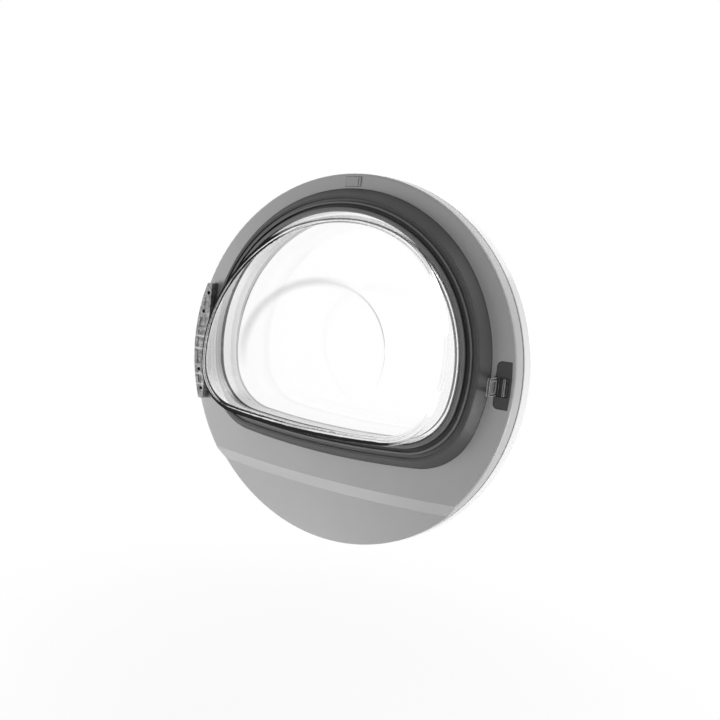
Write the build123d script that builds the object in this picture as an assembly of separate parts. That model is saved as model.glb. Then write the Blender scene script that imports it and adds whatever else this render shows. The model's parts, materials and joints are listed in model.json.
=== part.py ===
from build123d import *
from math import asin, atan2, cos, degrees, radians, sin, sqrt, tan
import os

# A round tumble dryer door, seen from its inner side, with its hinge and its catch.
# Each door piece is drawn with the door lying on its outer face: X runs from the
# hinge to the catch, Y to the door's top and Z to the cabinet. Z = 0 is the flat
# inner panel and X = Y = 0 is the middle of the round outline. The finished
# pieces are then stood up, so that Z points up and the cabinet is on the -Y side,
# with the origin in the middle of the hinge leaf's mounting face.

# Round outline, all lengths in millimetres
frame_radius = 235.0
frame_flare = 3.0
frame_depth = 17.4
frame_edge = 3.5
wall = 2.5
seam_gap = 1.2
fit_gap = 0.3
touch_gap = 0.1
over = 1.0
far = 300.0

# Lower panel, set back behind a sloping step
step_depth = 10.8
lower_panel_height = 80.5
step_height = frame_radius - lower_panel_height
step_slope_length = 16.5
step_curve_radius = 2175.0
lower_panel_tilt = 4.0

# D-shaped opening: a round top over a nearly straight base
panel_width = 28.7
opening_radius = frame_radius - panel_width
opening_centre = 10.1
opening_base_margin = 114.7
opening_base = opening_base_margin - frame_radius
base_curve_radius = 1116.0
opening_corner = 80.0
corner_loss = 0.3

# Seal carrier, a sloping frame round the opening
carrier_rise = 12.0
carrier_run = 10.0
carrier_wall = 3.2
carrier_lip = 2.0
carrier_flange = 3.0
carrier_flange_thickness = 2.5

# Rubber seal between the carrier and the glass
seal_wall = 2.8
seal_web_height = 8.5
seal_web_thickness = 3.5
seal_rib_inset = 18.2
seal_rib_width = 2.5
seal_rib_height = 16.5
seal_rib_round = 1.0
seal_lip_width = 4.0
seal_lip_height = 21.5
seal_lip_round = 1.5

# Glass bowl
bowl_height = 78.7
bowl_crown_height = 11.7
bowl_face_radius = 770.0
bowl_inset = 29.8
bowl_draft = 3.0
bowl_glass = 4.0
bowl_corner = 20.0
bowl_flange_inset = 14.4
bowl_flange_thickness = 6.0
dish_radius = 102.0
dish_depth = 2.8
dish_run_out = 0.3
dish_ramp = 30.0
dish_reach = 10.0
collar_thickness = 2.2
collar_height = 17.0

# Clamp ring that holds the glass from behind
clamp_thickness = 3.0
clamp_reach = 14.5
clamp_inner_inset = 34.3
cushion_thickness = 1.3
cushion_outer_inset = 15.5
cushion_inner_inset = 33.6
boss_reach = 9.0
boss_radius = 4.2
boss_angles = (-20.0, 24.0, 49.0, 74.0, 106.0, 131.0, 156.0)
boss_spacing = 84.0
small_screw_radius = 1.75
small_head_radius = 3.5
small_head_height = 2.4
small_screw_length = 9.0
head_round = 0.45
socket_radius = 1.2
socket_depth = 1.2

# Outer ring
ring_overlap = 5.6
ring_radius = frame_radius + ring_overlap
ring_side_depth = 15.4
ring_depth = 22.6
ring_wall = 3.0
ring_nose_width = 11.0
bezel_width = 52.6
bezel_inner_radius = ring_radius - bezel_width
bezel_dish = 2.0
bezel_slope = 0.12
bezel_edge_width = 4.0
bezel_edge_drop = 1.5
spigot_depth = 3.4
spigot_thickness = 2.0
spigot_root = 2.4

# Front window and what holds it
window_lip = 5.0
window_ledge = 1.0
window_thickness = 4.0
window_gasket_thickness = 1.0
window_edge = 0.6
retainer_thickness = 3.0
retainer_lap = 7.0
post_radius = 4.0
post_clearance = 1.2
post_count = 8
post_first_angle = 22.5

# Finger grip in the outer ring
grip_inset = 23.6
grip_radius = ring_radius - grip_inset
grip_width = 20.0
grip_half_angle = 12.0
grip_depth = 13.0
grip_wall = 1.8
grip_lip = 2.0
grip_sink = 0.4

# Catch on the side opposite the hinge
latch_rim = 3.8
latch_plate_right_radius = frame_radius - latch_rim
latch_plate_width = 19.2
latch_plate_left = latch_plate_right_radius - latch_plate_width
latch_plate_top = 29.5
latch_plate_bottom = -25.0
latch_plate_corner = 6.0
latch_plate_thickness = 1.5
latch_recess = 0.6
latch_pad_margin = 1.2
latch_pad_floor = 2.6
slot_overlap = 1.6
slot_width = 18.6
slot_left = latch_plate_left - slot_overlap
slot_right = slot_left + slot_width
slot_half_height = 11.6
slot_lip = 0.6
hook_offset = 0.9
hook_x = latch_plate_left + hook_offset
hook_thickness = 3.4
hook_half_height = 10.4
hook_rise = 23.0
hook_bar = 3.6
hook_window_corner = 1.4
hook_window_floor = 2.6
hook_rib_spacing = 10.4
hook_rib_x = hook_x + hook_rib_spacing
hook_rib_thickness = 2.6
hook_rib_rise = 2.4
hook_rib_half_height = 9.6
hook_base_thickness = 2.6
hook_base_overlap = 1.8
hook_base_width = 19.2
hook_base_left = latch_plate_left - hook_base_overlap
hook_base_right = hook_base_left + hook_base_width
hook_base_half_height = 21.0
hook_base_corner = 2.5
latch_backing_thickness = 1.5
latch_screw_offset = 16.5
latch_screw_inset = 8.0
latch_screw_x = latch_plate_left + latch_screw_inset
latch_screw_tip = 0.4

# Snap clip at the top of the panel
clip_width = 22.0
clip_height = 12.0
clip_inset = 9.8
clip_middle = frame_radius - clip_inset
clip_thickness = 2.4
clip_stand = 0.5
clip_edge = 0.4
clip_bar_width = 1.6
clip_bar_rise = 0.7
clip_bar_offsets = (1.4, 4.8)
clip_bar_margin = 0.8
clip_leg_offset = 1.0
clip_leg_length = 7.5
clip_leg_thickness = 1.8
clip_leg_width = 14.0

# Hinge
pin_inset = 12.0
pin_x = pin_inset - frame_radius
pin_depth = 12.0
pin_radius = 3.0
pin_half_length = 47.0
running_gap = 0.05
press_gap = 0.02
bush_wall = 1.5
barrel_radius = 7.0
barrel_half_length = 15.5
leaf_lug_inner = 17.0
leaf_lug_outer = 31.0
leaf_lug_radius = 6.5
leaf_web_out = 1.5
leaf_web_in = 7.0
outer_lug_inner = 33.0
outer_lug_outer = 43.0
washer_thickness = 1.2
washer_radius = 6.2
pin_clip_thickness = 1.2
pin_clip_radius = 4.6
pin_clip_mouth = 3.8
pin_groove_radius = 2.3
pin_end = 1.6
pin_edge = 0.5
leaf_half_length = 81.0
leaf_rim = 9.0
leaf_outer_radius = frame_radius - leaf_rim
leaf_width = 22.5
leaf_inner_edge = leaf_outer_radius - leaf_width
leaf_face = 14.0
leaf_plate = 3.5
leaf_skirt = 2.2
leaf_skirt_depth = 6.0
leaf_corner = 2.0
leaf_screw_inset = 7.5
leaf_screw_circle = leaf_outer_radius - leaf_screw_inset
leaf_screw_end = 14.0
leaf_screw_spacing = 26.0
leaf_outer_screw = leaf_half_length - leaf_screw_end
leaf_inner_screw = leaf_outer_screw - leaf_screw_spacing
leaf_hole_radius = 2.7
pocket_depth = 1.4
pocket_rim = 4.5
pocket_spans = ((49, 60), (18, 33), (7.5, 14.5), (-10, 3), (-33, -14), (-60, -49))
bracket_height = 7.0
bracket_plate = 3.0
bracket_wall = 2.0
bracket_rim_start = 0.6
bracket_reveal = 1.0
bracket_outer_radius = leaf_outer_radius + bracket_reveal
bracket_inner_edge = leaf_inner_edge + bracket_reveal
bracket_screw_inset = 5.5
bracket_screw_circle = leaf_outer_radius - bracket_screw_inset
bracket_screw_ends = (29.0, 19.0)
bracket_hole_radius = 2.7
big_screw_radius = 2.5
big_head_radius = 4.3
big_head_height = 2.8
big_screw_length = 11.0
backing_thickness = 2.0
backing_carrier_gap = 4.2
backing_inner_radius = opening_radius + backing_carrier_gap
backing_rim = 10.0
backing_outer_radius = frame_radius - backing_rim
backing_end = 11.0
backing_top = leaf_half_length - backing_end
backing_length = 23.0
backing_bottom = backing_top - backing_length
hinge_slot_reach = 20.5
hinge_slot_inner = hinge_slot_reach - frame_radius
hinge_slot_half = 46.0
clamp_notch_reach = 24.0
clamp_notch_inner = clamp_notch_reach - frame_radius
clamp_notch_half = 49.0
leaf_slot_margin = 1.0
leaf_notch_depth = 3.6
leaf_notch_reach = 20.0
leaf_notch_inner = leaf_notch_reach - frame_radius

# Levels that follow from the sizes above
seam_level = -frame_depth
ring_top = seam_level - seam_gap
outer_level = ring_top - ring_depth
flange_level = -wall - carrier_flange_thickness
glass_back = flange_level - bowl_flange_thickness
boss_end = glass_back - cushion_thickness
clamp_back = boss_end - clamp_thickness
seam_radius = frame_radius + frame_flare
window_seat = outer_level + bezel_dish + ring_wall + window_ledge
window_bottom = window_seat + window_gasket_thickness
window_top = window_bottom + window_thickness
retainer_top = window_top + retainer_thickness
window_radius = bezel_inner_radius + window_lip
post_circle = window_radius + fit_gap + post_radius + post_clearance
grip_seat = outer_level + bezel_dish + ring_wall - press_gap
latch_plate_low = -latch_plate_thickness - latch_recess
latch_pad_low = latch_plate_low - latch_pad_floor
latch_screw_seat = latch_pad_low - hook_base_thickness - latch_backing_thickness
latch_screw_length = latch_plate_low - latch_screw_seat - latch_screw_tip
bush_radius = pin_radius + running_gap + bush_wall
door_middle = (-(leaf_inner_edge + leaf_outer_radius) / 2, 0.0, leaf_face)
collar_outer_inset = bowl_inset - touch_gap - collar_thickness


def stand_up(shape):
    """Turns a piece drawn lying down to the upright frame of the part."""
    x, y, z = door_middle
    return Rot(90, 0, 0) * (Pos(-x, -y, -z) * shape)


def save(name, shape):
    solids = shape.solids()
    body = solids[0] if len(solids) == 1 else Compound(children=list(solids))
    body = stand_up(body)
    body.label = name
    export_step(body, "parts/" + name + ".step")


def d_face(inset, level):
    """The opening's outline, moved inwards by inset, as a flat face at a level."""
    top_radius = opening_radius - inset
    base_radius = base_curve_radius - inset
    corner = opening_corner - corner_loss * inset
    base_centre = opening_base + base_curve_radius
    gap = base_centre - opening_centre
    top_reach = top_radius - corner
    base_reach = base_radius - corner
    rise = (top_reach**2 - base_reach**2 + gap**2) / (2 * gap)
    x = sqrt(top_reach**2 - rise**2)
    y = opening_centre + rise
    top_angle = atan2(rise, x)
    base_angle = atan2(y - base_centre, x)
    middle_angle = (top_angle + base_angle) / 2

    def on_corner(angle, side):
        return (side * (x + corner * cos(angle)), y + corner * sin(angle))

    crown = (0, opening_centre + top_radius)
    foot = (0, opening_base + inset)
    right = ThreePointArc(*[on_corner(a, 1) for a in (top_angle, middle_angle, base_angle)])
    left = ThreePointArc(*[on_corner(a, -1) for a in (base_angle, middle_angle, top_angle)])
    top = ThreePointArc(left @ 1, crown, right @ 0)
    base = ThreePointArc(right @ 1, foot, left @ 0)
    return Pos(0, 0, level) * make_face([right, base, left, top]).face()


def d_block(inset, low, high):
    return extrude(d_face(inset, low), amount=high - low, dir=(0, 0, 1))


def d_taper(inset_low, inset_high, low, high):
    return loft([d_face(inset_low, low), d_face(inset_high, high)], ruled=True)


def d_ring(outer_inset, inner_inset, low, high):
    return d_block(outer_inset, low, high) - d_block(inner_inset, low, high)


def turned(points):
    """A solid of revolution about the door's axis, from points (radius, level)."""
    outline = Polyline([(r, 0, z) for r, z in points], close=True)
    return revolve(make_face(outline), axis=Axis.Z)


def ring_of(inner, outer, low, high):
    return turned([(inner, low), (outer, low), (outer, high), (inner, high)])


def disc(radius, low, high, x=0.0, y=0.0):
    return Pos(x, y, (low + high) / 2) * Cylinder(radius, high - low)


def block(x0, x1, y0, y1, z0, z1):
    middle = Pos((x0 + x1) / 2, (y0 + y1) / 2, (z0 + z1) / 2)
    return middle * Box(x1 - x0, y1 - y0, z1 - z0)


def arc_band(inner, outer, half_length, low, high):
    """The part of a flat ring on the hinge side, between two heights."""
    return ring_of(inner, outer, low, high) & block(-far, 0, -half_length, half_length, low, high)


def hinge_band(inner, outer, half_length, low, high):
    """A plate on the hinge side, round on its outer edge and straight on its inner one."""
    return disc(outer, low, high) & block(-far, -inner, -half_length, half_length, low, high)


def pin_bar(radius, y0, y1):
    """A round bar along the hinge axis."""
    bar = Rot(90, 0, 0) * Cylinder(radius, y1 - y0)
    return Pos(pin_x, (y0 + y1) / 2, -pin_depth) * bar


def boss_points():
    """Where the clamp ring is screwed down, round the D-shaped opening."""
    reach = opening_radius + boss_reach
    points = [
        (reach * cos(radians(a)), opening_centre + reach * sin(radians(a)))
        for a in boss_angles
    ]
    base_reach = base_curve_radius + boss_reach
    for step in (-1.5, -0.5, 0.5, 1.5):
        x = step * boss_spacing
        y = opening_base + base_curve_radius - sqrt(base_reach**2 - x**2)
        points.append((x, y))
    return points


def post_points():
    turn = 360.0 / post_count
    angles = [post_first_angle + i * turn for i in range(post_count)]
    return [(post_circle * cos(radians(a)), post_circle * sin(radians(a))) for a in angles]


def screw(x, y, seat, radius, length, head_radius, head_height, up):
    """A pan-head screw: its head stands off the seat and its shank goes the other way."""
    head_end = seat + up * head_height
    head = disc(head_radius, min(seat, head_end), max(seat, head_end), x, y)
    rim = head.edges().filter_by(GeomType.CIRCLE).sort_by(Axis.Z)[-1 if up > 0 else 0]
    head = fillet(rim, head_height * head_round)
    tip = seat - up * length
    shank = disc(radius, min(seat, tip), max(seat, tip), x, y)
    socket_end = head_end - up * socket_depth
    socket = disc(socket_radius, min(head_end, socket_end), max(head_end, socket_end), x, y)
    return head + shank - socket


def small_screws(points, seat, length, up):
    screws = [
        screw(x, y, seat, small_screw_radius, length, small_head_radius, small_head_height, up)
        for x, y in points
    ]
    return Compound(children=screws)


def drilled(body, points, radius, low, high):
    for x, y in points:
        body -= disc(radius, low, high, x, y)
    return body


def step_cutter(shift):
    """What is cut away over the lower panel, with its sloping face, moved in by shift."""
    lean = shift * tan(atan2(step_depth, step_slope_length) / 2)
    slope_top = lean - step_height
    slope_bottom = slope_top - step_slope_length
    drop = frame_radius * tan(radians(lower_panel_tilt))
    axis_y = step_curve_radius - step_height
    section = Polyline(
        [
            (0, slope_top, -shift),
            (0, slope_bottom, -step_depth - shift),
            (0, slope_bottom - frame_radius, -step_depth - shift - drop),
            (0, slope_bottom - frame_radius, frame_radius),
            (0, slope_top, frame_radius),
        ],
        close=True,
    )
    swing = degrees(atan2(far, step_curve_radius))
    face = Pos(0, axis_y, 0) * Rot(0, 0, -swing) * Pos(0, -axis_y, 0) * make_face(section)
    return revolve(face, axis=Axis((0, axis_y, 0), (0, 0, 1)), revolution_arc=2 * swing)


def frame_form(shift, edge, floor):
    """The inner frame as a solid plug, made smaller all over by shift."""
    top_radius = frame_radius - shift
    low_radius = frame_radius - shift + frame_flare * (-floor / frame_depth)
    plug = turned([(0, floor), (low_radius, floor), (top_radius, -shift), (0, -shift)])
    plug = fillet(plug.edges().filter_by(GeomType.CIRCLE).sort_by(Axis.Z)[-1], edge)
    return plug - step_cutter(shift)


def latch_outline(margin, low, high):
    """The catch plate's outline: rounded at its inner corners, curved along the rim."""
    face = block(
        latch_plate_left - margin,
        latch_plate_right_radius + far,
        latch_plate_bottom - margin,
        latch_plate_top + margin,
        low,
        high,
    )
    corners = face.edges().filter_by(Axis.Z).sort_by(Axis.X)[:2]
    face = fillet(corners, latch_plate_corner)
    return face & disc(latch_plate_right_radius + margin, low, high)


def hinge_room(depth):
    """Space kept free for the hinge's lugs at the rim."""
    return block(-far, hinge_slot_inner, -hinge_slot_half, hinge_slot_half, depth, over)


def leaf_lug_room(depth, top):
    """Space that the leaf's two lugs swing through."""
    low = leaf_lug_inner - leaf_slot_margin
    high = leaf_lug_outer + leaf_slot_margin
    upper = block(-far, leaf_notch_inner, low, high, depth, top)
    lower = block(-far, leaf_notch_inner, -high, -low, depth, top)
    return upper + lower


def latch_screw_points():
    return [(latch_screw_x, latch_screw_offset), (latch_screw_x, -latch_screw_offset)]


def make_inner_frame():
    shell = frame_form(0.0, frame_edge, seam_level)
    shell -= frame_form(wall, frame_edge - wall + fit_gap, seam_level - over)
    for x, y in boss_points():
        shell += disc(boss_radius, boss_end, -wall, x, y)
    pad = latch_outline(latch_pad_margin, latch_pad_low, -wall / 2)
    shell += pad & disc(frame_radius - wall / 2, latch_pad_low, 0)
    shell -= latch_outline(0.0, latch_plate_low, over)
    shell -= block(slot_left, slot_right, -slot_half_height, slot_half_height, seam_level, over)
    hole = small_screw_radius + touch_gap
    shell = drilled(shell, latch_screw_points(), hole, latch_pad_low - over, over)
    shell -= d_block(-fit_gap, -wall - over, over)
    shell = drilled(shell, boss_points(), hole, boss_end - over, boss_end + small_screw_length)
    half = clip_width / 2 + fit_gap
    low = clip_middle - clip_height / 2 - fit_gap
    high = clip_middle + clip_height / 2 + fit_gap
    shell -= block(-half, half, low, high, -wall - over, over)
    shell -= hinge_room(seam_level - over)
    return drilled(shell, bracket_screw_points(), bracket_hole_radius, -wall - over, over)


def make_seal_carrier():
    slope_top = d_taper(0.0, carrier_run, 0.0, carrier_rise)
    slope_top += d_block(0.0, flange_level, 0.0)
    slope_top += d_block(carrier_run, carrier_rise, carrier_rise + carrier_lip)
    hollow = d_taper(carrier_wall, carrier_run + carrier_wall, 0.0, carrier_rise)
    hollow += d_block(carrier_wall, flange_level, 0.0)
    hollow += d_block(carrier_run + carrier_wall, carrier_rise, carrier_rise + carrier_lip)
    body = slope_top - hollow
    body += d_ring(-carrier_flange, carrier_run + carrier_wall, flange_level, -wall)
    return body


def glass_inset(level):
    """How far the bowl's drafted outside has moved in at a level."""
    return bowl_inset + (level - flange_level) * tan(radians(bowl_draft))


def make_bowl_seal():
    outer = carrier_run + carrier_wall + touch_gap
    inner = collar_outer_inset - touch_gap
    lip_inner = glass_inset(collar_height) - touch_gap
    lip_outer = bowl_inset - touch_gap - seal_lip_width
    base = flange_level + touch_gap
    web_top = seal_web_height + seal_web_thickness
    body = d_ring(outer, outer + seal_wall, base, web_top)
    body += d_ring(outer, inner, seal_web_height, web_top)
    body += d_ring(inner - seal_wall, inner, base, web_top)
    rib = d_ring(seal_rib_inset, seal_rib_inset + seal_rib_width, web_top, seal_rib_height)
    rib = fillet(rib.edges().group_by(Axis.Z)[-1], seal_rib_round)
    lip = d_ring(lip_outer, lip_inner, web_top, seal_lip_height)
    lip = fillet(lip.edges().group_by(Axis.Z)[-1], seal_lip_round)
    lip -= d_ring(inner, lip_inner + over, web_top - over, collar_height + touch_gap)
    return body + rib + lip


def make_glass_collar():
    """A pale ring between the seal and the glass, which keeps the bowl centred."""
    return d_ring(collar_outer_inset, bowl_inset - touch_gap, flange_level + touch_gap, collar_height)


def face_axis():
    """Centre (Y, Z) of the crowned face's arc, from its two ends and its radius."""
    crown_y = opening_centre + opening_radius - bowl_inset
    foot_y = opening_base + bowl_inset
    run = crown_y - foot_y
    rise = bowl_height - bowl_crown_height
    chord = sqrt(run**2 + rise**2)
    reach = sqrt(bowl_face_radius**2 - chord**2 / 4)
    middle_y = (crown_y + foot_y) / 2
    middle_z = (bowl_crown_height + bowl_height) / 2
    return middle_y - reach * rise / chord, middle_z - reach * run / chord


def below_face(drop):
    """All that lies under the bowl's slanted, crowned face, moved in by drop."""
    y, z = face_axis()
    return Pos(0, y, z) * Rot(0, 90, 0) * Cylinder(bowl_face_radius - drop, 2 * far)


def dish_room(drop):
    """What the dish takes away: a wide cone square to the face, over a lowered face."""
    y, z = face_axis()
    lean = asin((opening_centre - y) / bowl_face_radius)
    middle = z + bowl_face_radius * cos(lean) - drop
    spread = dish_reach / tan(radians(dish_ramp))
    cone = Cone(dish_radius - spread, dish_radius + spread, 2 * dish_reach)
    cone = Pos(0, opening_centre, middle) * Rot(-degrees(lean), 0, 0) * cone
    tilt = degrees((dish_depth - dish_run_out) / (2 * dish_radius))
    pivot = Pos(0, opening_centre, middle)
    lowered = Pos(0, 0, -(dish_depth + dish_run_out) / 2) * below_face(drop)
    return cone - pivot * Rot(-tilt, -tilt, 0) * pivot.inverse() * lowered


def bowl_form(inset, base, drop, corner):
    """The bowl as a solid plug: drafted sides, a slanted face and a pressed dish."""
    top = bowl_height + bowl_corner
    slope = tan(radians(bowl_draft))
    plug = d_taper(inset, inset + (top - base) * slope, base, top) & below_face(drop)
    face = max(plug.faces(), key=lambda f: f.center().Z)
    plug = fillet(face.edges(), corner)
    return plug - dish_room(drop)


def make_glass_bowl():
    body = bowl_form(bowl_inset, flange_level, 0.0, bowl_corner)
    body += d_block(bowl_flange_inset, glass_back, flange_level)
    inside = bowl_form(bowl_inset + bowl_glass, glass_back, bowl_glass, bowl_corner - bowl_glass)
    return body - inside


def make_flange_cushion():
    return d_ring(cushion_outer_inset, cushion_inner_inset, boss_end, glass_back)


def make_bowl_clamp():
    body = d_ring(-clamp_reach, clamp_inner_inset, clamp_back, boss_end)
    low = clamp_back - over
    high = boss_end + over
    body -= block(-far, clamp_notch_inner, -clamp_notch_half, clamp_notch_half, low, high)
    return drilled(body, boss_points(), small_screw_radius + touch_gap, low, high)


def ring_section():
    """The outer ring's section: side, rounded nose, dished bezel and window seat."""
    nose_top = ring_top - ring_side_depth
    nose_in = ring_radius - ring_nose_width
    bezel_edge = outer_level + bezel_dish
    bezel_outer = bezel_inner_radius + bezel_edge_width
    seat = window_radius + fit_gap
    side = Line((seam_radius, 0, ring_top), (ring_radius, 0, nose_top))
    nose = Spline([side @ 1, (nose_in, 0, outer_level)], tangents=[side % 1, (-1, 0, 0)])
    face = Spline([nose @ 1, (bezel_outer, 0, bezel_edge)], tangents=[(-1, 0, 0), (-1, 0, bezel_slope)])
    back = Polyline(
        [
            face @ 1,
            (bezel_inner_radius, 0, bezel_edge + bezel_edge_drop),
            (bezel_inner_radius, 0, window_seat),
            (seat, 0, window_seat),
            (seat + ring_wall, 0, outer_level + bezel_dish + ring_wall),
            (nose_in, 0, outer_level + ring_wall),
            (ring_radius - ring_wall * 1.5, 0, nose_top - ring_wall),
            (ring_radius - ring_wall, 0, nose_top + ring_wall),
            (seam_radius - ring_wall, 0, ring_top),
            side @ 0,
        ]
    )
    return make_face(side + nose + face + back)


def grip_form(margin, low, high):
    """The finger grip's outline, a band along the ring with round ends."""
    half = grip_width / 2 + margin
    inner = grip_radius - half
    outer = grip_radius + half
    band = ring_of(inner, outer, low, high)
    reach = far * tan(radians(grip_half_angle))
    wedge = Polyline([(0, 0, low), (far, reach, low), (far, -reach, low)], close=True)
    band = band & extrude(make_face(wedge), amount=high - low, dir=(0, 0, 1))
    for turn in (-grip_half_angle, grip_half_angle):
        x = grip_radius * cos(radians(turn))
        y = grip_radius * sin(radians(turn))
        band += disc(half, low, high, x, y)
    return band


def make_outer_ring():
    body = revolve(ring_section(), axis=Axis.Z)
    spigot_outer = seam_radius - wall - frame_flare * spigot_depth / frame_depth - fit_gap
    spigot_inner = spigot_outer - spigot_thickness
    spigot_top = ring_top + spigot_depth
    spigot_low = ring_top - spigot_root
    rim = ring_of(spigot_inner, spigot_outer, spigot_low, spigot_top)
    rim += ring_of(spigot_inner, seam_radius - ring_wall + over, spigot_low, ring_top)
    rim -= block(-far, 0, -hinge_slot_half, hinge_slot_half, spigot_low - over, spigot_top + over)
    rim -= block(-far, far, -far, -step_height, seam_level - 2 * fit_gap, spigot_top + over)
    body += rim
    post_low = outer_level + ring_wall - over / 2
    for x, y in post_points():
        body += disc(post_radius, post_low, window_top, x, y)
    hole_low = outer_level + bezel_dish + ring_wall
    body = drilled(body, post_points(), small_screw_radius + touch_gap, hole_low, window_top + over)
    body -= leaf_lug_room(ring_top - leaf_notch_depth, ring_top + over)
    body += grip_form(grip_lip + over, outer_level + bezel_dish + touch_gap, grip_seat)
    return body - grip_form(fit_gap, outer_level - over, grip_seat + over)


def make_grip_cup():
    floor = outer_level + grip_depth
    cup = grip_form(0.0, outer_level + grip_sink, floor + grip_wall)
    cup -= grip_form(-grip_wall, outer_level - over, floor)
    lip = grip_form(grip_lip, grip_seat, grip_seat + grip_wall)
    lip -= grip_form(-grip_wall / 2, grip_seat - over, grip_seat + grip_wall + over)
    return cup + lip


def make_window_gasket():
    return ring_of(bezel_inner_radius + fit_gap, window_radius, window_seat, window_bottom)


def make_front_window():
    pane = disc(window_radius, window_bottom, window_top)
    return chamfer(pane.edges().filter_by(GeomType.CIRCLE), window_edge)


def make_window_retainer():
    body = ring_of(window_radius - retainer_lap, post_circle + post_radius, window_top, retainer_top)
    hole = small_screw_radius + touch_gap
    return drilled(body, post_points(), hole, window_top - over, retainer_top + over)


def make_latch_plate():
    body = latch_outline(-fit_gap, latch_plate_low, -latch_recess)
    half = slot_half_height - slot_lip
    return body - block(slot_left + slot_lip, slot_right - slot_lip, -half, half, latch_plate_low, 0)


def hook_base(low, high):
    """A flat plate with rounded corners, drilled for the catch's two screws."""
    half = hook_base_half_height
    plate = block(hook_base_left, hook_base_right, -half, half, low, high)
    plate = fillet(plate.edges().filter_by(Axis.Z), hook_base_corner)
    return drilled(plate, latch_screw_points(), small_screw_radius + touch_gap, low - over, high + over)


def make_latch_hook():
    base_low = latch_pad_low - hook_base_thickness
    base = hook_base(base_low, latch_pad_low)
    x0 = hook_x - hook_thickness / 2
    x1 = hook_x + hook_thickness / 2
    loop = block(x0, x1, -hook_half_height, hook_half_height, base_low, hook_rise)
    loop = fillet(loop.edges().filter_by(Axis.X).group_by(Axis.Z)[-1], hook_bar)
    half = hook_half_height - hook_bar
    window = block(x0 - over, x1 + over, -half, half, hook_window_floor, hook_rise - hook_bar)
    loop -= fillet(window.edges().filter_by(Axis.X), hook_window_corner)
    rib_left = hook_rib_x - hook_rib_thickness / 2
    rib_right = hook_rib_x + hook_rib_thickness / 2
    half = hook_rib_half_height
    return base + loop + block(rib_left, rib_right, -half, half, base_low, hook_rib_rise)


def make_latch_backing():
    top = latch_pad_low - hook_base_thickness
    return hook_base(top - latch_backing_thickness, top)


def make_top_clip():
    half = clip_width / 2
    low_edge = clip_middle - clip_height / 2
    high_edge = clip_middle + clip_height / 2
    body = block(-half, half, low_edge, high_edge, -clip_thickness, clip_stand)
    body = chamfer(body.edges().group_by(Axis.Z)[-1], clip_edge)
    bar_low = low_edge + clip_bar_margin
    bar_high = high_edge - clip_bar_margin
    for offset in clip_bar_offsets:
        x = half - offset
        x0 = x - clip_bar_width / 2
        x1 = x + clip_bar_width / 2
        body += block(x0, x1, bar_low, bar_high, 0.0, clip_stand + clip_bar_rise)
    leg_half = clip_leg_width / 2
    leg_low = low_edge + clip_leg_offset
    leg_high = leg_low + clip_leg_thickness
    leg_end = -clip_thickness - clip_leg_length
    return body + block(-leg_half, leg_half, leg_low, leg_high, leg_end, -clip_thickness)


def bracket_screw_points():
    points = []
    for end in bracket_screw_ends:
        height = leaf_half_length - end
        x = -sqrt(bracket_screw_circle**2 - height**2)
        points += [(x, height), (x, -height)]
    return points


def lug(radius, y0, y1, top_left, top_right, top):
    """A hinge lug: a round eye about the pin, carried by a tapering web."""
    outline = Polyline(
        [
            (pin_x - radius, 0, -pin_depth),
            (top_left, 0, top),
            (top_right, 0, top),
            (pin_x + radius, 0, -pin_depth),
        ],
        close=True,
    )
    web = extrude(make_face(outline), amount=y1 - y0, dir=(0, 1, 0))
    return Pos(0, y0, 0) * web + pin_bar(radius, y0, y1)


def make_hinge_bracket():
    inner = bracket_inner_edge
    outer = bracket_outer_radius
    body = hinge_band(inner, outer, leaf_half_length, 0.0, bracket_height)
    body -= hinge_band(
        inner + bracket_wall,
        outer - bracket_wall,
        leaf_half_length - bracket_wall,
        bracket_plate,
        bracket_height + over,
    )
    half = hinge_slot_half - fit_gap
    body += arc_band(frame_radius - wall, frame_radius, half, seam_level + bracket_rim_start, bracket_plate)
    body += arc_band(outer - over, frame_radius, half, 0.0, bracket_plate)
    spans = [(-barrel_half_length, barrel_half_length)]
    spans += [(outer_lug_inner, outer_lug_outer), (-outer_lug_outer, -outer_lug_inner)]
    for y0, y1 in spans:
        body += lug(barrel_radius, y0, y1, pin_x - barrel_radius, pin_x + barrel_radius, bracket_plate)
    body -= d_block(-fit_gap, -over, bracket_height + over)
    body -= leaf_lug_room(-far, bracket_height + over)
    body -= pin_bar(bush_radius + press_gap, -outer_lug_outer - over, outer_lug_outer + over)
    return drilled(body, bracket_screw_points(), bracket_hole_radius, -over, bracket_plate + over)


def bush_spans():
    """Bushes sit in both outer lugs and in both ends of the barrel."""
    length = outer_lug_outer - outer_lug_inner
    return {
        "upper_bush": (outer_lug_inner, outer_lug_outer),
        "lower_bush": (-outer_lug_outer, -outer_lug_inner),
        "barrel_upper_bush": (barrel_half_length - length, barrel_half_length),
        "barrel_lower_bush": (-barrel_half_length, length - barrel_half_length),
    }


def make_bush(y0, y1):
    return pin_bar(bush_radius, y0, y1) - pin_bar(pin_radius + running_gap, y0 - over, y1 + over)


def make_backing(sign):
    low = -wall - backing_thickness
    plate = ring_of(backing_inner_radius, backing_outer_radius, low, -wall)
    y0, y1 = sorted((sign * backing_bottom, sign * backing_top))
    plate = plate & block(-far, 0, y0, y1, low, -wall)
    plate = drilled(plate, bracket_screw_points(), big_screw_radius + touch_gap, low - over, 0)
    return plate - d_block(-carrier_flange - fit_gap, low - over, 0)


def make_bracket_screws():
    screws = [
        screw(x, y, bracket_plate, big_screw_radius, big_screw_length, big_head_radius, big_head_height, 1)
        for x, y in bracket_screw_points()
    ]
    return Compound(children=screws)


def leaf_screw_points():
    points = []
    for height in (leaf_outer_screw, leaf_inner_screw):
        x = -sqrt(leaf_screw_circle**2 - height**2)
        points += [(x, height), (x, -height)]
    return points


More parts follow.
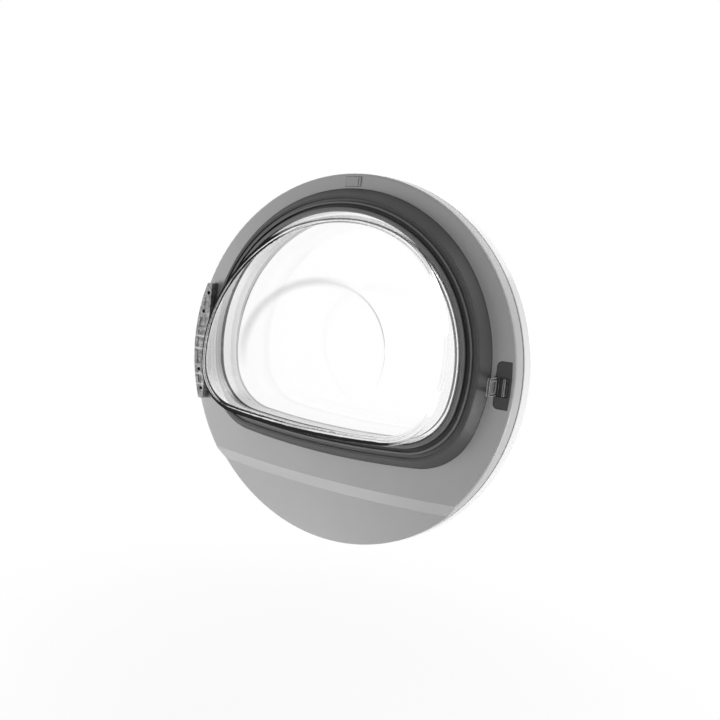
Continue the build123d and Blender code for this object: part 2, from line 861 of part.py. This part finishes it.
def leaf_pockets():
    """Shallow pockets in the mounting face, between the screw holes, as cast."""
    inner = leaf_inner_edge + pocket_rim
    outer = leaf_outer_radius - pocket_rim
    floor = leaf_face - pocket_depth
    band = hinge_band(inner, outer, leaf_half_length, floor, leaf_face + over)
    pockets = []
    for low, high in pocket_spans:
        pockets += (band & block(-far, 0, low, high, floor, leaf_face + over)).solids()
    return pockets


def make_hinge_leaf():
    skirt_low = leaf_face - leaf_skirt_depth
    body = hinge_band(leaf_inner_edge, leaf_outer_radius, leaf_half_length, skirt_low, leaf_face)
    upright = body.edges().filter_by(Axis.Z)
    body = fillet(upright, leaf_corner)
    body -= hinge_band(
        leaf_inner_edge + leaf_skirt,
        leaf_outer_radius - leaf_skirt,
        leaf_half_length - leaf_skirt,
        skirt_low - over,
        leaf_face - leaf_plate,
    )
    web_top = leaf_face - leaf_plate
    for y0, y1 in ((leaf_lug_inner, leaf_lug_outer), (-leaf_lug_outer, -leaf_lug_inner)):
        body += lug(leaf_lug_radius, y0, y1, pin_x - leaf_web_out, pin_x + leaf_web_in, web_top)
    body -= pin_bar(pin_radius + press_gap, -leaf_lug_outer - over, leaf_lug_outer + over)
    for pocket in leaf_pockets():
        body -= pocket
    return drilled(body, leaf_screw_points(), leaf_hole_radius, web_top - over, leaf_face + over)


def make_hinge_pin():
    body = pin_bar(pin_radius, -pin_half_length, pin_half_length)
    ends = body.edges().filter_by(GeomType.CIRCLE)
    body = chamfer(ends, pin_edge)
    for sign in (-1, 1):
        edge = sign * (pin_half_length - pin_end)
        y0, y1 = sorted((edge, edge - sign * pin_clip_thickness))
        body -= pin_bar(pin_radius + over, y0, y1) - pin_bar(pin_groove_radius, y0 - over, y1 + over)
    return body


def make_pin_clips():
    """Two spring clips, each open on one side, in the pin's end grooves."""
    clips = []
    for sign in (-1, 1):
        edge = sign * (pin_half_length - pin_end)
        y0, y1 = sorted((edge - sign * touch_gap, edge - sign * (pin_clip_thickness - touch_gap)))
        clip = pin_bar(pin_clip_radius, y0, y1)
        clip -= pin_bar(pin_groove_radius + touch_gap, y0 - over, y1 + over)
        half = pin_clip_mouth / 2
        clip -= block(pin_x, 0, y0 - over, y1 + over, -pin_depth - half, half - pin_depth)
        clips.append(clip)
    return Compound(children=clips)


def make_thrust_washer(y0):
    ring = pin_bar(washer_radius, y0, y0 + washer_thickness)
    return ring - pin_bar(pin_radius + running_gap, y0 - over, y0 + washer_thickness + over)


def main():
    os.makedirs("parts", exist_ok=True)
    save("inner_frame", make_inner_frame())
    save("seal_carrier", make_seal_carrier())
    save("bowl_seal", make_bowl_seal())
    save("glass_bowl", make_glass_bowl())
    save("glass_collar", make_glass_collar())
    save("flange_cushion", make_flange_cushion())
    save("bowl_clamp", make_bowl_clamp())
    save("clamp_screws", small_screws(boss_points(), clamp_back, small_screw_length, -1))
    save("outer_ring", make_outer_ring())
    save("grip_cup", make_grip_cup())
    save("window_gasket", make_window_gasket())
    save("front_window", make_front_window())
    save("window_retainer", make_window_retainer())
    save("retainer_screws", small_screws(post_points(), retainer_top, small_screw_length, 1))
    save("latch_plate", make_latch_plate())
    save("latch_hook", make_latch_hook())
    save("latch_backing", make_latch_backing())
    save("latch_screws", small_screws(latch_screw_points(), latch_screw_seat, latch_screw_length, -1))
    save("top_clip", make_top_clip())
    save("hinge_bracket", make_hinge_bracket())
    for name, span in bush_spans().items():
        save(name, make_bush(*span))
    save("upper_backing", make_backing(1))
    save("lower_backing", make_backing(-1))
    save("bracket_screws", make_bracket_screws())
    save("hinge_leaf", make_hinge_leaf())
    save("hinge_pin", make_hinge_pin())
    save("pin_clips", make_pin_clips())
    save("upper_washer", make_thrust_washer(leaf_lug_outer + touch_gap))
    save("lower_washer", make_thrust_washer(-leaf_lug_inner + touch_gap))


main()
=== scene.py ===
import json
import math

import bpy
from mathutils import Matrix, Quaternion, Vector


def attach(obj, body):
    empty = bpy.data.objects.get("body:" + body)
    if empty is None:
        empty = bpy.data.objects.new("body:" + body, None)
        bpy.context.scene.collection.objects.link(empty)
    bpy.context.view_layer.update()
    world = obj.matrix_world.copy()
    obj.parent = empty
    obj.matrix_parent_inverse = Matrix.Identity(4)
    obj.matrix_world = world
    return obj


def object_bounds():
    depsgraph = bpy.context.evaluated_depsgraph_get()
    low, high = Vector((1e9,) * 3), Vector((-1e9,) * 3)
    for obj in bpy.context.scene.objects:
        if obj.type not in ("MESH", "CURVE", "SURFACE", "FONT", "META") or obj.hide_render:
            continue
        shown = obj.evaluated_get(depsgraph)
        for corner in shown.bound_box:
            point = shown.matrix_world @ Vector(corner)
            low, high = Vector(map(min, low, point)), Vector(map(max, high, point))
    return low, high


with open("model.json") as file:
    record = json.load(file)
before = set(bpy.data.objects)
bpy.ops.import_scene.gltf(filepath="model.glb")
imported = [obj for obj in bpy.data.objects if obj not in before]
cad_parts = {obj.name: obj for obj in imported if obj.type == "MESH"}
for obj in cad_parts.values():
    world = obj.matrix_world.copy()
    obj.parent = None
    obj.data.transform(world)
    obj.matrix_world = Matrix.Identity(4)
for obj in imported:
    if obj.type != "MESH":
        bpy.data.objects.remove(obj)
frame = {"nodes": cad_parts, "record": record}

cad_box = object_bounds()
nodes_by_name = frame["nodes"]
scene = bpy.context.scene
scene.view_settings.view_transform = "Standard"


# Places and sizes in metres

panel_centre_x = 0.21475
dish_centre = (0.21425, 0.015)    # X and Z
dish_rim_radius = 0.0995
dish_height_factor = 1.2          # the dish is less tall than wide
hinge_rib_heights = (0.0057, -0.0118, -0.0474, -0.0615)
panel_seam_shade = (0.0308, -0.0012)    # Y where the seam's painted shade begins to fade, and over what distance
ring_seam_shade = (0.033, 0.0022)
liner_inner_radius = 0.186
liner_outer_radius = 0.188
liner_front = 0.0295
liner_back = 0.0412
liner_edge = 0.0002
liner_steps = 128
screw_pitch = 0.001
floor_level = cad_box[0][2] - 0.24
floor_half_width = 6.0


# Node helpers. A source is a node and the name or number of its output.

class Nodes:
    """A node tree with short calls for the nodes used here."""

    def __init__(self, tree):
        self.tree = tree
        self.tree.nodes.clear()

    def new(self, kind):
        return self.tree.nodes.new(kind)

    def link(self, source, node, socket):
        self.tree.links.new(source[0].outputs[source[1]], node.inputs[socket])

    def math(self, kind, a, b=None, clamp=False):
        m = self.new("ShaderNodeMath")
        m.operation = kind
        m.use_clamp = clamp
        for i, value in enumerate((a, b)):
            if isinstance(value, tuple):
                self.link(value, m, i)
            elif value is not None:
                m.inputs[i].default_value = value
        return m, "Value"

    def mixed(self, factor, a, b):
        """Mixes two shaders by a factor."""
        both = self.new("ShaderNodeMixShader")
        for i, source in enumerate((factor, a, b)):
            self.link(source, both, i)
        return both, "Shader"

    def background_seen(self):
        """1 for the rays that show the white background: from the camera, through glass and off gloss."""
        path = self.new("ShaderNodeLightPath")
        seen = self.math("MAXIMUM", (path, "Is Camera Ray"), (path, "Is Transmission Ray"))
        return self.math("MAXIMUM", seen, (path, "Is Glossy Ray"))


class Surface(Nodes):
    """A material with its output and Principled shader, and patterns in the piece's own coordinates."""

    def __init__(self, name):
        self.material = bpy.data.materials.new(name)
        self.material.use_nodes = True
        super().__init__(self.material.node_tree)
        self.output = self.new("ShaderNodeOutputMaterial")
        self.shader = self.new("ShaderNodeBsdfPrincipled")
        self.link((self.shader, "BSDF"), self.output, "Surface")
        self.place = self.new("ShaderNodeTexCoord")

    def set(self, **values):
        for key, value in values.items():
            socket = self.shader.inputs[key.replace("_", " ")]
            socket.default_value = (*value, 1.0) if isinstance(value, tuple) else value

    def into(self, source, socket):
        self.link(source, self.shader, socket)

    def parts(self, kind):
        """X, Y and Z of the place (Object) or of the surface's direction (Normal)."""
        split = self.new("ShaderNodeSeparateXYZ")
        self.link((self.place, kind), split, "Vector")
        return [(split, axis) for axis in "XYZ"]

    def noise(self, scale, detail=2.0, rough=0.5, stretch=None):
        n = self.new("ShaderNodeTexNoise")
        n.inputs["Scale"].default_value = scale
        n.inputs["Detail"].default_value = detail
        n.inputs["Roughness"].default_value = rough
        place = (self.place, "Object")
        if stretch:
            mapping = self.new("ShaderNodeMapping")
            mapping.inputs["Scale"].default_value = stretch
            self.link(place, mapping, "Vector")
            place = (mapping, "Vector")
        self.link(place, n, "Vector")
        return n, "Fac"

    def ramp(self, source, stops, reach=1.0):
        """Greys by a source's value. reach is the value at which the ramp ends."""
        if reach != 1.0:
            source = self.math("MULTIPLY", source, 1.0 / reach)
        r = self.new("ShaderNodeValToRGB")
        elements = r.color_ramp.elements
        elements[0].position = stops[0][0] / reach
        elements[1].position = stops[-1][0] / reach
        elements[0].color = (*grey(stops[0][1]), 1.0)
        elements[1].color = (*grey(stops[-1][1]), 1.0)
        for at, level in stops[1:-1]:
            elements.new(at / reach).color = (*grey(level), 1.0)
        self.link(source, r, "Fac")
        return r, "Color"

    def spread(self, source, low, high):
        """Turns a 0 to 1 value into one from low to high."""
        m = self.new("ShaderNodeMapRange")
        m.inputs["To Min"].default_value = low
        m.inputs["To Max"].default_value = high
        self.link(source, m, "Value")
        return m, "Result"

    def mix(self, factor, a, b):
        """Blends two colours, each three numbers or a source."""
        m = self.new("ShaderNodeMix")
        m.data_type = "RGBA"
        self.link(factor, m, "Factor")
        for socket, colour in ((6, a), (7, b)):
            if len(colour) == 2:
                self.link(colour, m, socket)
            else:
                m.inputs[socket].default_value = (*colour, 1.0)
        return m, 2

    def bevelled(self, radius):
        b = self.new("ShaderNodeBevel")
        b.samples = 4
        b.inputs["Radius"].default_value = radius
        return b, "Normal"

    def edges(self, radius):
        """0 on flat areas and near 1 along sharp edges, from a bevelled normal."""
        dot = self.new("ShaderNodeVectorMath")
        dot.operation = "DOT_PRODUCT"
        self.link(self.bevelled(radius), dot, 0)
        self.link((self.new("ShaderNodeNewGeometry"), "Normal"), dot, 1)
        turned = self.math("SUBTRACT", 1.0, (dot, "Value"))
        return self.math("MULTIPLY", turned, 4.0, clamp=True)

    def bump(self, source, depth, strength, radius=0.0, below=None):
        """Raises the surface by a source, over softened edges or over another bump."""
        b = self.new("ShaderNodeBump")
        b.inputs["Strength"].default_value = strength
        b.inputs["Distance"].default_value = depth
        self.link(source, b, "Height")
        if radius:
            below = self.bevelled(radius)
        if below:
            self.link(below, b, "Normal")
        return b, "Normal"

    def seam(self, start, width):
        """Painted shade: low in the seam between panel and ring and 1 from start plus width on, along Y."""
        past = self.math("SUBTRACT", self.parts("Object")[1], start)
        past = self.math("DIVIDE", past, width, clamp=True)
        return self.ramp(past, [(0.3, 0.35), (1.0, 1.0)])

    def ao_for_painted_shade(self, reach):
        """1 where a surface lies open and down to 0 in grooves and gaps, for painting shade into them."""
        a = self.new("ShaderNodeAmbientOcclusion")
        a.samples = 8
        a.inputs["Distance"].default_value = reach
        return a, "AO"

    def diffuse(self, level):
        d = self.new("ShaderNodeBsdfDiffuse")
        d.inputs["Color"].default_value = (*grey(level), 1.0)
        return d, "BSDF"


def grey(level):
    return (level, level, level)


# Plastics and rubber

def moulded_skin(m, rough, grain=1800.0, depth=0.00005, edge=0.0004):
    """Uneven gloss and fine grain over softened edges."""
    m.into(m.spread(m.noise(60.0, 3.0, 0.6), rough - 0.05, rough + 0.06), "Roughness")
    m.into(m.bump(m.noise(grain, 3.0, 0.6), depth, 0.6, edge), "Normal")


def moulded(name, level, rough, edge_paleness=0.12, mottle=0.05, edge=0.0004, **skin):
    """Moulded plastic: fine grain, faint flow marks, edges a little paler in patches."""
    m = Surface(name)
    cloud = m.noise(22.0, 4.0, 0.55)
    body = m.mix(cloud, grey(level * (1 - mottle)), grey(level * (1 + mottle)))
    pale_edge = m.math("MULTIPLY", m.edges(edge * 1.6), m.spread(m.noise(160.0, 3.0), 0.2, 1.0))
    pale_edge = m.math("MULTIPLY", pale_edge, edge_paleness)
    m.into(m.mix(pale_edge, body, grey(min(0.9, level * 1.9 + 0.06))), "Base Color")
    moulded_skin(m, rough, edge=edge, **skin)
    return m.material


def made_grey_plastic():
    """The panel's satin plastic, with painted shade in its gaps and along the seam."""
    m = Surface("grey_plastic")
    body = m.mix(m.noise(22.0, 4.0, 0.55), grey(0.385), grey(0.425))
    # Painted shade: near black in the gaps and along the seam
    unshaded_part = m.ramp(m.ao_for_painted_shade(0.005), [(0.3, 0.0), (0.7, 1.0)])
    unshaded_part = m.math("MULTIPLY", unshaded_part, m.seam(*panel_seam_shade))
    m.into(m.mix(unshaded_part, grey(0.05), body), "Base Color")
    moulded_skin(m, 0.42)
    m.set(IOR=1.5, Coat_Weight=0.4, Coat_Roughness=0.3)
    return m.material


def made_white_plastic():
    """The outer ring's glossy plastic, with painted shade in its gaps and along the seam."""
    m = Surface("white_plastic")
    # Painted shade: near black in the gaps and along the seam
    unshaded_part = m.ramp(m.ao_for_painted_shade(0.006), [(0.4, 0.0), (0.8, 1.0)])
    unshaded_part = m.math("MULTIPLY", unshaded_part, m.seam(*ring_seam_shade))
    m.into(m.mix(unshaded_part, grey(0.04), grey(0.74)), "Base Color")
    moulded_skin(m, 0.2, grain=900.0, depth=0.00001)
    m.set(Coat_Weight=0.3, Coat_Roughness=0.08)
    return m.material


def made_hook_plastic():
    """Dark grey acetal with a painted highlight, a lighter line, along every edge."""
    m = Surface("hook_plastic")
    # Painted highlight: a pale line along every edge
    line = m.math("MULTIPLY", m.edges(0.0016), m.spread(m.noise(220.0, 3.0), 1.0, 1.6), clamp=True)
    m.into(m.mix(line, grey(0.07), grey(0.85)), "Base Color")
    m.into(m.spread(m.noise(90.0, 3.0), 0.24, 0.36), "Roughness")
    m.into(m.bump(m.noise(1500.0, 3.0), 0.00003, 0.5, 0.0005), "Normal")
    return m.material


def made_rubber():
    """Moulded seal rubber: dusty faces, and painted shade that keeps the grooves dark."""
    m = Surface("seal_rubber")
    dust = m.spread(m.noise(45.0, 5.0, 0.6), 0.2, 0.8)
    skin = m.mix(dust, grey(0.15), grey(0.2))
    # Painted shade: near black in the grooves
    unshaded_part = m.ramp(m.ao_for_painted_shade(0.007), [(0.2, 0.0), (0.75, 1.0)])
    m.into(m.mix(unshaded_part, grey(0.004), skin), "Base Color")
    m.into(m.spread(m.noise(90.0, 4.0, 0.6), 0.4, 0.55), "Roughness")
    m.into(m.bump(m.noise(2600.0, 2.0, 0.6), 0.00004, 0.5, 0.0005), "Normal")
    m.set(Specular_IOR_Level=0.3)
    return m.material


def made_silicone():
    """Pale silicone with a slight glow, so that it doesn't darken the glass edge in front of it."""
    m = Surface("cushion_silicone")
    m.set(Base_Color=grey(0.8), Roughness=0.5, Emission_Color=grey(1.0), Emission_Strength=0.3)
    return m.material


# Metals

def made_cast_metal(name, level, ribs=()):
    """Die-cast zinc alloy: cloudy skin, small pits, painted highlights along its edges, and paler lines across
    it at the rib heights.
    """
    m = Surface(name)
    cloud = m.ramp(m.noise(150.0, 5.0, 0.65), [(0.38, 0.0), (0.62, 1.0)])
    spots = m.ramp(m.noise(520.0, 3.0, 0.6), [(0.36, 0.0), (0.5, 1.0)])
    body = m.mix(cloud, grey(level * 0.55), grey(level * 1.5))
    pitted = m.mix(spots, grey(level * 0.4), body)
    # Painted highlights along the edges, and paler lines across at the rib heights
    bright = m.edges(0.0006)
    height = m.parts("Object")[2]
    for rib in ribs:
        off = m.math("ABSOLUTE", m.math("SUBTRACT", height, rib))
        rib_line = m.ramp(off, [(0.0005, 0.55), (0.0015, 0.0)], reach=0.0025)
        bright = m.math("MAXIMUM", bright, rib_line)
    m.into(m.mix(bright, pitted, grey(min(0.85, level * 2.2))), "Base Color")
    m.into(m.spread(m.noise(200.0, 4.0), 0.36, 0.58), "Roughness")
    pits = m.bump(spots, 0.0002, 0.7, 0.0005)
    m.into(m.bump(m.noise(900.0, 4.0, 0.65), 0.00012, 0.5, below=pits), "Normal")
    m.set(Metallic=0.75)
    return m.material


def made_steel(name, level, threads=False):
    """Zinc-plated steel, with rolled threads along Y where asked and drawing marks elsewhere."""
    m = Surface(name)
    haze = m.noise(300.0, 4.0, 0.6)
    m.into(m.mix(haze, grey(level * 0.82), grey(level * 1.1)), "Base Color")
    m.into(m.spread(m.noise(700.0, 3.0), 0.24, 0.38), "Roughness")
    if threads:
        wave = m.new("ShaderNodeTexWave")
        wave.wave_type = "BANDS"
        wave.bands_direction = "Y"
        wave.inputs["Scale"].default_value = 0.3125 / screw_pitch
        m.link((m.place, "Object"), wave, "Vector")
        m.into(m.bump((wave, "Fac"), 0.0003, 0.8), "Normal")
    else:
        scratch = m.noise(900.0, 2.0, 0.5, stretch=(1.0, 1.0, 0.06))
        m.into(m.bump(scratch, 0.00003, 0.6, 0.0003), "Normal")
    m.set(Metallic=1.0)
    return m.material


# Glass

def glass_parts(m, ripple):
    """The glass's own shader, plus a way through for the light that falls on what lies behind it."""
    m.set(Base_Color=grey(1.0), IOR=1.48, Roughness=0.0, Transmission_Weight=1.0)
    m.into(m.bump(m.noise(9.0, 1.0, 0.4), ripple, 0.5), "Normal")
    clear = m.new("ShaderNodeBsdfTransparent")
    path = m.new("ShaderNodeLightPath")
    lets_light_in = m.math("MAXIMUM", (path, "Is Shadow Ray"), (path, "Is Diffuse Ray"))
    return clear, lets_light_in


def made_window_glass():
    m = Surface("window_glass")
    clear, lets_light_in = glass_parts(m, 0.0001)
    m.link(m.mixed(lets_light_in, (m.shader, "BSDF"), (clear, "BSDF")), m.output, "Surface")
    return m.material


def dish_shade(m, across, up, away):
    """Painted shade: 1 on clear glass and a little less along the upper left of the dish's rim."""
    off = m.math("ABSOLUTE", m.math("SUBTRACT", away, dish_rim_radius))
    rim = m.ramp(off, [(0.0, 1.0), (0.0025, 0.8), (0.0075, 0.1), (0.01, 0.0)], reach=0.01)
    upper_left = m.ramp(m.math("SUBTRACT", up, across), [(0.044, 0.0), (0.116, 1.0)], reach=0.2)
    return m.spread(m.math("MULTIPLY", upper_left, rim), 1.0, 0.86)


def made_bowl_glass():
    """Clear pressed glass: calm where it faces the eye, bright and then painted dark round its edges, with
    painted shade along the dish's rim.
    """
    m = Surface("bowl_glass")
    clear, lets_light_in = glass_parts(m, 0.0004)
    weight = m.new("ShaderNodeLayerWeight")
    weight.inputs["Blend"].default_value = 0.5
    turned = (weight, "Facing")

    # Where the point lies from the dish's centre, and which way the surface looks
    x, y, z = m.parts("Object")
    normal_x, normal_y, normal_z = m.parts("Normal")
    across = m.math("SUBTRACT", x, dish_centre[0])
    rise = m.math("SUBTRACT", z, dish_centre[1])
    up = m.math("MULTIPLY", rise, dish_height_factor)
    away = m.math("SQRT", m.math("ADD", m.math("MULTIPLY", across, across), m.math("MULTIPLY", up, up)))
    slope = m.math("ABSOLUTE", normal_y)
    # Painted shade tints the clear glass along the upper left of the dish's rim
    m.link(m.mix(dish_shade(m, across, up, away), grey(0.0), grey(1.0)), clear, "Color")

    # Parts of the bowl
    outward = m.math("ADD", m.math("MULTIPLY", across, normal_x), m.math("MULTIPLY", rise, normal_z))
    outward = m.math("ADD", m.math("DIVIDE", outward, away), 0.5)
    far_wall = m.ramp(outward, [(0.2, 1.0), (0.4, 0.0)])
    rounded = m.ramp(slope, [(0.25, 0.0), (0.33, 1.0), (0.87, 1.0), (0.9, 0.0)])
    rounded = m.math("MULTIPLY", rounded, m.ramp(normal_z, [(0.72, 1.0), (0.88, 0.0)]))
    rounded = m.math("MULTIPLY", rounded, m.ramp(away, [(0.108, 0.0), (0.114, 1.0)], reach=0.2))
    hinge_side = m.ramp(across, [(0.12, 1.0), (0.144, 0.1)], reach=0.2)
    below_top = m.ramp(rise, [(0.136, 1.0), (0.16, 0.2)], reach=0.2)
    flange = m.ramp(y, [(0.0243, 0.0), (0.0246, 0.75)], reach=0.1)
    # Where the glass sits in the seal, for a band of painted shade
    seat = m.ramp(m.math("ADD", y, 0.025), [(0.015, 0.0), (0.0165, 0.85), (0.0215, 0.85), (0.0225, 0.0)],
                  reach=0.05)
    seat = m.math("MULTIPLY", seat, m.ramp(slope, [(0.3, 1.0), (0.4, 0.0)]))

    # Bright reflections
    shine = m.new("ShaderNodeBsdfGlossy")
    shine.inputs["Color"].default_value = (*grey(0.92), 1.0)
    shine.inputs["Roughness"].default_value = 0.02
    bright = m.math("MULTIPLY", far_wall, m.ramp(turned, [(0.0, 0.0), (0.3, 0.1), (0.45, 0.5), (1.0, 0.6)]))
    bright = m.math("ADD", bright, 0.012)
    band = m.math("MULTIPLY", rounded, m.ramp(turned, [(0.24, 0.0), (0.3, 0.9), (0.5, 0.9), (1.0, 0.0)]))
    silver = m.math("MAXIMUM", m.math("MAXIMUM", bright, band), flange)
    calm = m.mixed(silver, (clear, "BSDF"), (shine, "BSDF"))
    refracting = m.math("MULTIPLY", m.ramp(turned, [(0.5, 0.0), (0.62, 1.0)]), hinge_side)
    glass = m.mixed(refracting, calm, (m.shader, "BSDF"))

    # Painted shade: dark lines round the rounded edge and where the glass sits in the seal
    line = m.ramp(turned, [(0.33, 0.0), (0.355, 0.6), (0.38, 0.0), (0.45, 0.0), (0.48, 1.0), (1.0, 1.0)])
    line = m.math("MULTIPLY", m.math("MULTIPLY", line, hinge_side), below_top)
    painted_darkness = m.math("MAXIMUM", m.math("MULTIPLY", rounded, line), seat)
    edged = m.mixed(painted_darkness, glass, m.diffuse(0.02))
    m.link(m.mixed(lets_light_in, edged, (clear, "BSDF")), m.output, "Surface")
    return m.material


# Every CAD node takes the finish of its slot, and the catch plate a darker one of its own

finish = {
    "grey_plastic": made_grey_plastic(),
    "dark_plastic": moulded("dark_plastic", 0.06, 0.42, edge_paleness=0.6, edge=0.0009),
    "rubber": made_rubber(),
    "cushion_silicone": made_silicone(),
    "glass": made_bowl_glass(),
    "window_glass": made_window_glass(),
    "inner_plastic": moulded("inner_plastic", 0.74, 0.45, edge_paleness=0.05, mottle=0.02),
    "collar_plastic": moulded("collar_plastic", 0.92, 0.3, edge_paleness=0.0, mottle=0.01, grain=1200.0, depth=0.00002),
    "white_plastic": made_white_plastic(),
    "hook_plastic": made_hook_plastic(),
    "clip_plastic": moulded("clip_plastic", 0.4, 0.4, edge_paleness=0.3),
    "screw_steel": made_steel("screw_steel", 0.6, threads=True),
    "plate_steel": made_steel("plate_steel", 0.5),
    "pin_steel": made_steel("pin_steel", 0.65),
    "hinge_metal": made_cast_metal("hinge_metal", 0.24),
    "leaf_metal": made_cast_metal("leaf_metal", 0.34, hinge_rib_heights),
    "bush_plastic": moulded("bush_plastic", 0.68, 0.36, edge_paleness=0.0, mottle=0.02),
}

for part in frame["record"]["subparts"]:
    piece = nodes_by_name[part["node"]]
    piece.data.materials.clear()
    piece.data.materials.append(finish[part["material_slot"]])
nodes_by_name["latch_plate"].data.materials[0] = moulded("latch_plastic", 0.034, 0.36, edge_paleness=0.25)


# White liner between the clamp ring and the window's retainer

def turned_ring(name, profile, centre, steps, body):
    """Turns a closed profile of radius and Y pairs round the Y axis through the centre."""
    points = []
    faces = []
    count = len(profile)
    for i in range(steps):
        angle = 2 * math.pi * i / steps
        for radius, y in profile:
            points.append((centre[0] + radius * math.cos(angle), y, centre[1] + radius * math.sin(angle)))
    for i in range(steps):
        here = i * count
        following = (i + 1) % steps * count
        for j in range(count):
            after = (j + 1) % count
            faces.append((here + j, here + after, following + after, following + j))
    mesh = bpy.data.meshes.new(name)
    mesh.from_pydata(points, [], faces)
    mesh.update()
    for face in mesh.polygons:
        face.use_smooth = True
    ring = bpy.data.objects.new(name, mesh)
    scene.collection.objects.link(ring)
    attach(ring, body)
    return ring


liner_profile = [
    (liner_inner_radius, liner_front + liner_edge),
    (liner_inner_radius + liner_edge, liner_front),
    (liner_outer_radius - liner_edge, liner_front),
    (liner_outer_radius, liner_front + liner_edge),
    (liner_outer_radius, liner_back - liner_edge),
    (liner_outer_radius - liner_edge, liner_back),
    (liner_inner_radius + liner_edge, liner_back),
    (liner_inner_radius, liner_back - liner_edge),
]
liner = turned_ring("tunnel_liner", liner_profile, (panel_centre_x, 0.0), liner_steps, "door")
liner.data.materials.append(finish["collar_plastic"])


# Floor and world, white where they are seen and dimmer as lights

aim = Vector((panel_centre_x, 0.014, 0.0))


def made_floor():
    """Pale floor, white where it is seen except for a soft darker patch under the part."""
    m = Surface("floor")
    m.tree.nodes.remove(m.shader)
    distance = m.new("ShaderNodeVectorMath")
    distance.operation = "DISTANCE"
    m.link((m.place, "Object"), distance, 0)
    distance.inputs[1].default_value = (aim.x, aim.y, floor_level)
    fade = m.new("ShaderNodeMapRange")
    fade.interpolation_type = "SMOOTHSTEP"
    fade.inputs["From Min"].default_value = 0.2
    fade.inputs["From Max"].default_value = 0.75
    fade.inputs["To Min"].default_value = 0.86
    fade.inputs["To Max"].default_value = 1.0
    m.link((distance, "Value"), fade, "Value")
    glow = m.new("ShaderNodeEmission")
    glow.inputs["Color"].default_value = (*grey(1.0), 1.0)
    glow.inputs["Strength"].default_value = 1.0
    whiteness = m.math("MULTIPLY", m.background_seen(), (fade, "Result"))
    m.link(m.mixed(whiteness, m.diffuse(0.86), (glow, "Emission")), m.output, "Surface")
    return m.material


def background(m, strength):
    b = m.new("ShaderNodeBackground")
    b.inputs["Color"].default_value = (*grey(1.0), 1.0)
    b.inputs["Strength"].default_value = strength
    return b, "Background"


floor_mesh = bpy.data.meshes.new("floor")
floor_corners = [
    (x * floor_half_width, y * floor_half_width, floor_level) for x, y in ((-1, -1), (1, -1), (1, 1), (-1, 1))
]
floor_mesh.from_pydata(floor_corners, [], [(0, 1, 2, 3)])
floor_mesh.materials.append(made_floor())
floor = bpy.data.objects.new("floor", floor_mesh)
scene.collection.objects.link(floor)

scene.world = bpy.data.worlds.new("studio")
scene.world.use_nodes = True
sky = Nodes(scene.world.node_tree)
world_output = sky.new("ShaderNodeOutputWorld")
sky.link(sky.mixed(sky.background_seen(), background(sky, 0.3), background(sky, 1.0)), world_output, "Surface")


# Lamps and camera

def lamp(name, place, target, width, height, power, mirrored=True):
    """A soft rectangular lamp that shows only in reflections, and there only if mirrored."""
    data = bpy.data.lights.new(name, "AREA")
    data.shape = "RECTANGLE"
    data.size = width
    data.size_y = height
    data.energy = power
    obj = bpy.data.objects.new(name, data)
    obj.location = place
    obj.rotation_mode = "QUATERNION"
    obj.rotation_quaternion = (Vector(target) - Vector(place)).to_track_quat("-Z", "Y")
    obj.visible_camera = False
    obj.visible_transmission = False
    obj.visible_glossy = mirrored
    scene.collection.objects.link(obj)


lamp("low_left", (-0.5, -0.5, -0.1), aim, 0.5, 0.3, 4.6, mirrored=False)
lamp("below", (0.15, -0.035, -0.43), (0.2, 0.0, -0.17), 0.36, 0.08, 0.42, mirrored=False)
lamp("upper_right", (1.0, 0.3, 0.7), aim, 0.7, 0.7, 3.6)
lamp("lower_right", (1.0, 0.1, -0.3), aim, 0.4, 0.3, 2.7)
lamp("behind", (0.2, 1.4, 0.6), aim, 1.6, 1.2, 8.0)

# The camera as fitted to the photo's outline of the round panel
photo_width = 720
azimuth = math.radians(31.19)
elevation = math.radians(5.51)
roll = math.radians(5.89)
distance = 0.94
level_part = math.cos(elevation)
back = Vector((math.sin(azimuth) * level_part, -math.cos(azimuth) * level_part, math.sin(elevation)))
camera_data = bpy.data.cameras.new("camera")
camera_data.sensor_width = 36.0
camera_data.lens = 36.9
camera_data.shift_x = 24.7 / photo_width
camera_data.shift_y = 0.6 / photo_width
camera_data.clip_start = 0.01
camera_data.clip_end = 100.0
camera = bpy.data.objects.new("camera", camera_data)
camera.location = aim + back * distance
camera.rotation_mode = "QUATERNION"
camera.rotation_quaternion = (-back).to_track_quat("-Z", "Y") @ Quaternion((0, 0, 1), roll)
scene.collection.objects.link(camera)
scene.camera = camera
